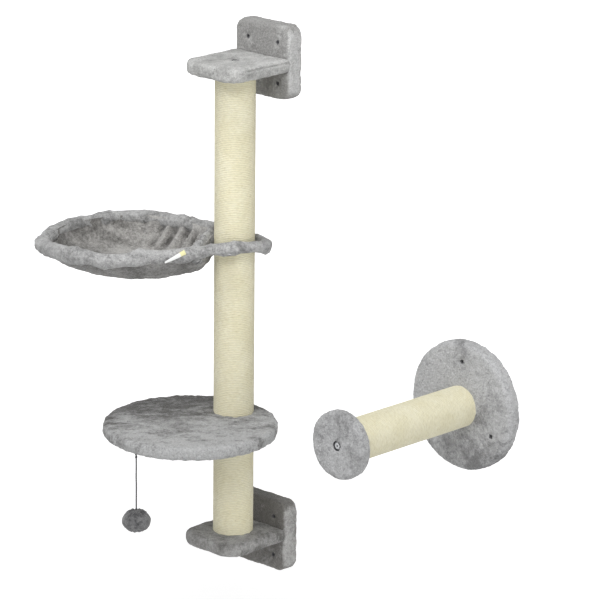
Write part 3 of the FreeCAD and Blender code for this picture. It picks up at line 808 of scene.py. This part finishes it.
def rim_sleeve():
    """The gathered plush sleeve: modelled straight, wrinkled, then bent round the wire's line."""
    points = wire_line()
    line = bpy.data.curves.new("wire_guide", "CURVE")
    line.dimensions = "3D"
    line.twist_mode = "Z_UP"
    spline = line.splines.new("POLY")
    spline.points.add(len(points) - 1)
    for made, p in zip(spline.points, points):
        made.co = (*p, 1)
    spline.use_cyclic_u = True
    guide = placed("wire_guide", line)
    long = sum((points[i] - points[i - 1]).length for i in range(len(points)))

    clear()
    bpy.ops.mesh.primitive_cylinder_add(vertices=52, radius=0.0178, depth=long, end_fill_type="NOTHING",
                                        location=(long / 2, 0, 0), rotation=(0, math.radians(90), 0))
    sleeve = named("hammock_rim_plush")
    settle(sleeve)
    pick_runs(sleeve, 0, long / 2)
    bpy.ops.mesh.subdivide(number_cuts=560)
    done()
    hoop_start, neck_pass, hoop_back = long - 0.37, long - 0.240, long - 0.080

    def slimmer(co):
        """The sleeve is thinner round the column and swells at the neck. It sags a little under the
        wire, most where it passes behind the column, and rides up in front of it."""
        near_column = max(0.0, min(1.0, (co.x - hoop_start) / 0.09))
        near_column = max(near_column, max(0.0, 1 - co.x / 0.06))
        swell = 0.22 * bump_at(abs(co.x - 0.045), 0.045)
        scale = 1.04 - 0.16 * near_column + swell
        drop = -0.0022 * (1 - near_column) * (1 + math.sin(co.x * 41) * 0.6)
        behind = min(abs(co.x - hoop_back), long - abs(co.x - hoop_back))
        drop -= 0.0120 * bump_at(behind, 0.14)
        drop += (0.34 * min(co.z, 0) + 0.12 * max(co.z, 0)) * bump_at(behind, 0.14)
        drop += 0.0050 * bump_at(abs(co.x - neck_pass), 0.10)
        return Vector((0, co.y * (scale - 1), co.z * (scale * 1.02 - 1) + drop))

    sculpt(sleeve, slimmer)
    free = group_by(sleeve, "free", lambda p: min(1.0, min(p.x, long - p.x) / 0.03))
    lumps(sleeve, 0.050, 0.0125, 1, "NORMAL", free)
    lumps(sleeve, 0.020, 0.0072, 2, "NORMAL", free, (1.0, 3.0, 3.0), (0, 0, 0.5), creased=True)
    lumps(sleeve, 0.012, 0.0042, 2, "NORMAL", free, (1.0, 3.2, 3.2), (0, 0.7, -0.6), creased=True)
    lumps(sleeve, 0.0045, 0.0014, 2, "NORMAL", free)
    sleeve.vertex_groups.clear()
    finish_with(sleeve, "CURVE", object=guide, deform_axis="POS_X")
    bpy.data.objects.remove(guide)
    edit(sleeve)
    bpy.ops.mesh.remove_doubles(threshold=0.0006)
    done()
    outward(sleeve)
    sculpt(sleeve, uneven)
    hang(sleeve)
    smooth(sleeve)
    dress(sleeve, plush_rim, "hammock", "grey_plush", "hammock_rim_cover", "hammock_rim_padding")


BAG_INSET, BAG_NEAR, BAG_DEPTH = 0.006, NECK + 0.005, 0.074
BAG_END_RUN, BAG_END_CURL = 0.245, 2.7             # how far and how late its blunt end draws out
BAG_LOW = BAG_NEAR + 0.197                         # where its lowest point is


def bag_outline(around, radius, middle, end, half):
    """One point of the bag's outline at the angle around: a round far end about middle, straight
    sides, and a blunt end of that half width at end."""
    side = 1 if around >= 0 else -1
    back = (abs(around) - math.pi / 2) / (math.pi / 2)
    if back <= 0:
        return Vector((middle + radius * math.cos(around), radius * math.sin(around), 0))
    touch = Vector((middle - radius * math.sin(LEAN), side * radius * math.cos(LEAN), 0))
    corner = Vector((end + 0.1 * radius, side * (half + 0.02 * radius), 0))
    blunt = Vector((end, side * half * 0.85, 0))
    round_to, straight_to, corner_to = 0.26, 0.66, 0.74
    if back < round_to:
        x = middle + (touch.x - middle) * back / round_to
        return Vector((x, side * math.sqrt(radius ** 2 - (x - middle) ** 2), 0))
    if back < straight_to:
        return touch.lerp(corner, (back - round_to) / (straight_to - round_to))
    if back < corner_to:
        return corner.lerp(blunt, (back - straight_to) / (corner_to - straight_to))
    return blunt.lerp(Vector((end, 0, 0)), (back - corner_to) / (1 - corner_to))


def bag_point(around, u):
    """A point of the bag at the angle around and a share u of the way from its seam on the rim's
    inner side to its bottom: round walls, drawn out from the column towards a wide bottom."""
    seam, seam_height, least = 0.96, 0.0090, 0.012
    share = seam * (1 - u) + least
    fall = math.sqrt(max(0.0, 1 - (share / (seam + least)) ** 2.6))
    radius = (RING - BAG_INSET) * share
    far = BAG_LOW + 0.070 * share
    end = min(BAG_NEAR + BAG_END_RUN * (1 - share) ** BAG_END_CURL, far - 1.3 * radius)
    drawn = min(1.0, max(0.0, (0.90 - share) / 0.35))
    drawn = drawn * drawn * (3 - 2 * drawn)
    low_middle = max(end + (RING_REACH - BAG_INSET - BAG_NEAR) * share, far - radius)
    middle = RING_REACH + drawn * (low_middle - RING_REACH)
    half = (strand(BAG_NEAR) - 0.006) * share
    point = bag_outline(around, radius, middle, end, half)
    near_neck = bump_at(abs(point.x - 0.075), 0.075) * fall
    point.z = seam_height - (BAG_DEPTH + seam_height + 0.002) * fall + 0.011 * near_neck
    return point


def below_seam(co):
    """0 at the bag's top edge, 1 from a little below it."""
    return min(1.0, max(0.0, -0.001 - co.z) / 0.014)


def far_side(co):
    return min(1.0, max(0.0, -co.y) / 0.035)


def fold_at(co):
    """How far a point of the bag stands in a ridge, 1, or in a fold between two, below 0: they run
    slanting down the far wall next to the gathered neck."""
    slant, pitch = co.x + 0.6 * co.z, 0.029
    ridge = 1 - 2.2 * abs(math.sin(math.pi * slant / pitch + 0.4 * math.sin(slant * 60))) ** 0.8
    above = min(1.0, max(0.0, co.z + 0.064) / 0.024)
    near_neck = min(1.0, 1.5 * bump_at(abs(slant - 0.128), 0.090))
    return ridge * below_seam(co) * far_side(co) * above * near_neck


def bag_folds(co):
    """The deep folds, light gathers elsewhere, and the far wall drawn in at the neck."""
    around = math.atan2(co.y, co.x - RING_REACH)
    gather = math.sin(around * 19 + 2.1 * math.sin(around * 7)) * math.sin(around * 9 + 0.7)
    edge = bump_at(abs(co.z + 0.022), 0.040) * below_seam(co) * (0.3 if co.y > 0 else 1.0)
    out = Vector((co.x - RING_REACH, co.y, 0)) / max(0.05, math.hypot(co.x - RING_REACH, co.y))
    wall = Vector((-0.35 * out.x, -0.85 * out.y, 0.5))
    drawn_in = bump_at(abs(co.x - 0.080), 0.050) * bump_at(abs(co.z + 0.006), 0.045) * far_side(co)
    return wall * (0.0125 * fold_at(co) + 0.0036 * gather * edge) + Vector((0, 0.016 * drawn_in, 0))


def painted_light_inside(piece, middle, material):
    """The faces that look towards a point in the bowl take the lighter inside copy; the outside keeps the
    darker copy, painted shade under the bag.
    """
    piece.data.materials.append(material)
    for face in piece.data.polygons:
        if face.normal.dot(middle - face.center) > 0:
            face.material_index = 1


def hammock_bag():
    """The bag: one sagging sheet, sewn in over the rim and drawn in at the neck."""
    rows, spokes = 84, 300
    clear()
    bpy.ops.mesh.primitive_cylinder_add(vertices=spokes, radius=1, depth=1, end_fill_type="NOTHING")
    bag = named("hammock_bag_plush")
    pick_runs(bag, 2, 0.5)
    bpy.ops.mesh.subdivide(number_cuts=rows - 1)
    done()

    sculpt(bag, lambda co: bag_point(math.atan2(co.y, co.x), 0.5 - co.z) - co)
    pick(bag, "VERT", lambda p: p.z < -0.060 and math.hypot(p.x - BAG_LOW + 0.0004, p.y) < 0.0024)
    bpy.ops.mesh.merge(type="CENTER")
    done()
    # the fold values, kept for the painted shade in the bowl's folds
    fold_shade = bag.data.attributes.new("fold", "FLOAT", "POINT")
    for v in bag.data.vertices:
        fold_shade.data[v.index].value = fold_at(v.co)
    sculpt(bag, bag_folds)
    low_part = group_by(bag, "low", lambda p: min(1.0, max(0.0, 0.004 - p.z) / 0.03))
    lumps(bag, 0.070, 0.0080, 1, "NORMAL", low_part)
    lumps(bag, 0.030, 0.0042, 1, "NORMAL", low_part, creased=True)
    bag.vertex_groups.clear()
    lumps(bag, 0.0050, 0.0010, 2)
    finish_with(bag, "SMOOTH", iterations=1, factor=0.5)
    outward(bag)
    finish_with(bag, "SOLIDIFY", thickness=0.003, offset=0.0, use_rim=True)
    outward(bag)
    sculpt(bag, uneven)
    hang(bag)
    smooth(bag)
    dress(bag, shaded_plush_bag, "hammock", "grey_plush", "hammock_bag")
    painted_light_inside(bag, HANG @ Vector((RING_REACH, 0, 0.05)), plush_bowl)


def neck_band():
    """The puckered, padded panel that closes the bag next to the column."""
    half, thick, high = strand(NECK) - 0.004, 0.0105, 0.0225
    clear()
    bpy.ops.mesh.primitive_cylinder_add(vertices=48, radius=1, depth=2 * half,
                                        rotation=(math.radians(90), 0, 0))
    band = named("hammock_neck_plush")
    settle(band)
    pick_runs(band, 1, half)
    bpy.ops.mesh.subdivide(number_cuts=110)
    done()

    def puckered(co):
        """Flattens the roll into a thin upright panel with gathers across it."""
        pucker = 1 + 0.16 * math.sin(co.y * 330 + 2 * math.sin(co.y * 90))
        return Vector((NECK + 0.0140 + co.x * thick * pucker, co.y, co.z * high * pucker - 0.005)) - co

    sculpt(band, puckered)
    lumps(band, 0.022, 0.0060, 1)
    lumps(band, 0.010, 0.0030, 2, creased=True)
    outward(band)
    hang(band)
    smooth(band)
    dress(band, plush_rim, "hammock", "grey_plush", "hammock_neck_band")


def label():
    """The blank folded tab on the rim's near side."""
    clear()
    bpy.ops.mesh.primitive_grid_add(x_subdivisions=40, y_subdivisions=10, size=1, calc_uvs=True)
    tab = named("hammock_tab")
    length, widest, reach = 0.050, 0.011, 0.108
    for v in tab.data.vertices:
        x, y = v.co.x, v.co.y
        share = x + 0.5
        width = widest * (0.25 + 0.75 * share ** 0.6)
        curl = 0.0012 * math.sin(share * 3.1)
        v.co = Vector((-x * length, 0.0004 + curl + 0.0006 * math.cos(y * 3), y * width))
    finish_with(tab, "SOLIDIFY", thickness=0.0007, offset=0.0, use_rim=True)
    seat = Vector((reach, strand(reach), 0)) + Vector((-math.sin(LEAN), math.cos(LEAN), 0)) * 0.0205
    tab.matrix_world = (Matrix.Translation(seat) @ Matrix.Rotation(LEAN, 4, "Z")
                        @ Matrix.Rotation(math.radians(24), 4, "Y"))
    settle(tab)
    outward(tab)
    hang(tab)
    smooth(tab)
    dress(tab, tab_ribbon, "hammock", "label", "hammock_label")


rim_sleeve()
hammock_bag()
neck_band()
label()


# ---- toy

def toy_cord():
    """The thin cord, hanging straight from its knot into the ball's gathers."""
    line = bpy.data.curves.new("toy_cord_braid", "CURVE")
    line.dimensions = "3D"
    line.bevel_depth = CORD_THICK / 2
    line.bevel_resolution = 3
    line.use_fill_caps = True
    spline = line.splines.new("NURBS")
    drops = (0.0, 0.019, 0.042, 0.067, 0.091, CORD_LENGTH + 0.005)
    sway = (0.0, 0.0003, -0.0004, 0.0004, -0.0002, 0.0)
    spline.points.add(len(drops) - 1)
    for made, drop, side in zip(spline.points, drops, sway):
        made.co = (TOY.x + side, TOY.y, CORD_TOP - drop, 1)
    spline.order_u = 3
    spline.use_endpoint_u = True
    spline.resolution_u = 12
    return dress(placed("toy_cord_braid", line), dark_braid, "toy", "cord", "toy_cord")


def toy_ball():
    """The stuffed plush ball, drawn in by gathers where the cord enters it."""
    clear()
    bpy.ops.mesh.primitive_uv_sphere_add(segments=96, ring_count=64, radius=BALL)
    ball = named("toy_ball_plush")

    def gathered(co):
        """Squashes the ball, and draws its top and bottom in to pleated dimples; the top one ends in
        a small collar round the cord."""
        level = co.z / BALL
        around = math.atan2(co.y, co.x)
        side = math.hypot(co.x, co.y) / BALL
        end = abs(level) ** 4
        pleat = math.sin(around * 11 + 0.8 * math.sin(around * 3)) * bump_at(abs(side - 0.5), 0.45) * end
        pleat *= 1.0 if level > 0 else 0.35
        squash = Vector((co.x, co.y, co.z * 0.80))
        squash.z -= math.copysign(0.0042, level) * bump_at(side, 0.50)
        squash.z += math.copysign(0.0030, level) * pleat
        if level > 0:
            squash.z += 0.0040 * bump_at(side, 0.20)
        squash += Vector((co.x, co.y, 0)) * (0.10 * pleat)
        return squash - co

    sculpt(ball, gathered)
    ball.location = (TOY.x, TOY.y, CORD_TOP - CORD_LENGTH - 0.030)
    settle(ball)
    lumps(ball, 0.014, 0.0034, 2)
    lumps(ball, 0.0030, 0.0013, 3)
    smooth(ball)
    dress(ball, plush_ball, "toy", "dark_plush", "toy_ball_cover", "toy_ball_filling")
    return ball


def cord_knot():
    """Three small wraps of the cord, drawn into one knot."""
    parts = []
    for turn, lift in (((0.5, 0.2, 0), 0.0006), ((-0.5, 0.9, 0.4), -0.0002), ((0.2, -0.7, 1.2), -0.0010)):
        clear()
        bpy.ops.mesh.primitive_torus_add(major_radius=0.0014, minor_radius=0.0012, major_segments=28,
                                         minor_segments=14,
                                         location=(TOY.x, TOY.y, TOY.z - 0.0061 + lift), rotation=turn)
        parts.append(bpy.context.object)
    for part in parts:
        part.select_set(True)
    bpy.context.view_layer.objects.active = parts[0]
    bpy.ops.object.join()
    knot = named("toy_cord_knot")
    settle(knot)
    smooth(knot)
    return dress(knot, dark_braid, "toy", "cord", "toy_knot")


def cord_loop():
    clear()
    bpy.ops.mesh.primitive_torus_add(major_radius=0.0022, minor_radius=0.0010, major_segments=40,
                                     minor_segments=16, location=TOY, rotation=(0, math.radians(90), 0))
    loop = named("toy_cord_loop")
    settle(loop)
    lumps(loop, 0.0012, 0.0002, 1)
    smooth(loop)
    return dress(loop, dark_braid, "toy_link", "cord", "toy_loop")


hanging, ball_piece, knot_piece, loop_piece = toy_cord(), toy_ball(), cord_knot(), cord_loop()


# ---- finishes of the CAD nodes that show

FINISHES = {
    board: ["top_wall_board", "top_shelf_board", "bottom_wall_board", "bottom_shelf_board",
            "column_plugs", "platform_board", "step_wall_board", "step_plugs", "step_cap_board"],
    tube_card: ["upper_post_tube", "middle_post_tube", "lower_post_tube", "step_post_tube"],
    steel: ["bracket_screws", "column_bolts", "column_bolt_washers", "column_inserts", "hammock_stud",
            "platform_stud", "toy_staple", "step_wall_bolt", "step_inserts", "step_cap_bolt",
            "step_cap_washer", "hammock_frame", "hammock_strip"],
    white_nylon: ["swivel_washers"],
}
for finish, nodes in FINISHES.items():
    for node in nodes:
        piece = frame["nodes"][node]
        piece.data.materials.clear()
        piece.data.materials.append(finish)


# ---- studio

def seen_rays(tree):
    """1 for rays from the camera, straight, mirrored or through glass."""
    rays = add(tree, "LightPath")
    seen = sums(tree, "MAXIMUM", rays.outputs["Is Camera Ray"], rays.outputs["Is Glossy Ray"])
    return sums(tree, "MAXIMUM", seen, rays.outputs["Is Transmission Ray"])


def studio():
    """The pale floor and the world, both white where they are seen, with the object's shadow."""
    clear()
    bpy.ops.mesh.primitive_plane_add(size=80, location=(0, 0, -1.62))
    floor = named("studio_floor")
    material = bpy.data.materials.new("pale_floor")
    material.use_nodes = True
    tree = material.node_tree
    shader = tree.nodes["Principled BSDF"]
    shader.inputs["Base Color"].default_value = (0.80, 0.80, 0.80, 1)
    shader.inputs["Roughness"].default_value = 0.9
    place = add(tree, "TexCoord").outputs["Object"]
    away = add(tree, "VectorMath", {0: place}, operation="LENGTH").outputs["Value"]
    pale = add(tree, "MapRange", {"Value": away, "From Min": 1.0, "From Max": 4.0, "To Min": 0.40,
                                  "To Max": 1.0}).outputs[0]
    strength = sums(tree, "MULTIPLY", seen_rays(tree), pale)
    glow = add(tree, "Emission", {"Color": (1, 1, 1, 1), "Strength": strength})
    both = add(tree, "AddShader", {0: shader.outputs[0], 1: glow.outputs[0]})
    tree.links.new(both.outputs[0], tree.nodes["Material Output"].inputs["Surface"])
    floor.data.materials.append(material)

    world = bpy.data.worlds.new("studio")
    bpy.context.scene.world = world
    world.use_nodes = True
    tree = world.node_tree
    dim = tree.nodes["Background"]
    dim.inputs["Color"].default_value = (1, 1, 1, 1)
    dim.inputs["Strength"].default_value = 0.36
    white = add(tree, "Background", {"Color": (1, 1, 1, 1), "Strength": 1.0})
    chosen = add(tree, "MixShader", {0: seen_rays(tree), 1: dim.outputs[0], 2: white.outputs[0]})
    tree.links.new(chosen.outputs[0], tree.nodes["World Output"].inputs["Surface"])


def lamp(name, place, target, power, size):
    data = bpy.data.lights.new(name, "AREA")
    data.energy = power
    data.shape = "DISK"
    data.size = size
    piece = placed(name, data)
    piece.location = place
    piece.rotation_euler = (Vector(target) - Vector(place)).to_track_quat("-Z", "Y").to_euler()


def photo_camera():
    """The photograph's view, solved from the edges of both units."""
    data = bpy.data.cameras.new("photo_camera")
    data.sensor_width = 36.0
    data.lens = 219.36
    data.clip_end = 100
    camera = placed("photo_camera", data)
    right = Vector((0.72049541, 0.69338631, 0.01008877))
    up = Vector((-0.20118375, 0.19508237, 0.95993123))
    back = Vector((0.66363504, -0.69365574, 0.28005401))
    frame_of = Matrix((right, up, back)).transposed().to_4x4()
    frame_of.translation = Vector((5.4515, -5.6099, 1.7278))
    camera.matrix_world = frame_of
    bpy.context.scene.camera = camera


studio()
MIDDLE = (0.1, -0.2, -0.5)
lamp("key", (2.4, -3.0, 2.6), MIDDLE, 90, 1.8)
lamp("fill", (-2.6, -3.2, 0.4), MIDDLE, 40, 2.4)
lamp("top", (0.3, -1.1, 2.7), MIDDLE, 52, 1.2)
lamp("side", (5.5, -1.5, -0.1), (0.1, -0.2, -0.6), 104, 3.0)
photo_camera()
bpy.context.scene.view_settings.view_transform = "Standard"
